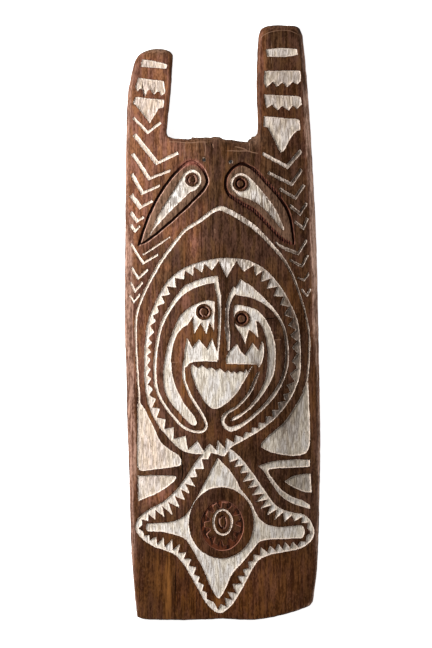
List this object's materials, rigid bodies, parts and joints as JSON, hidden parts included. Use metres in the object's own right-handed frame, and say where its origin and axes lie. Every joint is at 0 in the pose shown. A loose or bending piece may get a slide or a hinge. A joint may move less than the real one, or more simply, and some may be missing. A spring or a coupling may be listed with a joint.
{
  "type": "carved shield board",
  "caption": "Carved wooden shield board with an arm notch between two prongs and lime-filled relief of a face in a toothed ring, beaked eyes, chevrons and a star",
  "frame": {"origin": "centre of the footprint at the height of the two flat back margins that the board lies on", "axes": "+Y along the board towards the prongs, +Z out of the carved face, +X to the right as the face is looked at with the prongs up"},
  "size_m": [0.3136, 0.952, 0.026],
  "materials": {
    "carved_wood": "dark brown hand-carved wood with a dull sheen, cut-back figures filled with chalky lime white, some red ochre in the grooves"
  },
  "bodies": {
    "root": {"shield_board": "carved_wood"}
  },
  "joints": []
}
